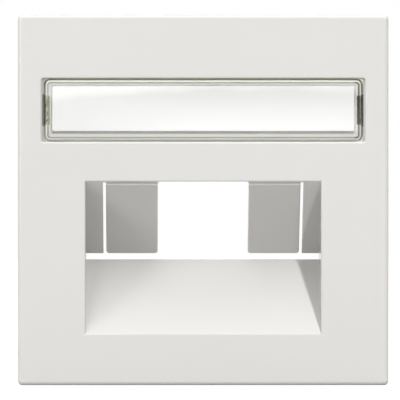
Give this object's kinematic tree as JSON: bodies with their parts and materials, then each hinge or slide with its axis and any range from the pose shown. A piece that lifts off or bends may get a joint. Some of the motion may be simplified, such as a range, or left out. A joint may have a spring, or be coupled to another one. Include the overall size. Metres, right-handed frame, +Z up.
{
  "type": "keystone faceplate",
  "caption": "Square white outlet cover plate with a clear label window over a slanted recess with one open jack way and break-out tabs.",
  "frame": {"origin": "middle of the plate's outline, on the plane of its rear rim", "axes": "+Z up, +X to the right seen from the front, -Y out of the front face; +Y goes into the wall"},
  "size_m": [0.055, 0.0145, 0.055],
  "materials": {
    "white_plastic": "moulded, smooth, silk gloss",
    "clear_plastic": "clear, polished",
    "card": "plain white, matt"
  },
  "bodies": {
    "root": {"faceplate": "white_plastic", "label_window": "clear_plastic", "label_card": "card"}
  },
  "joints": []
}
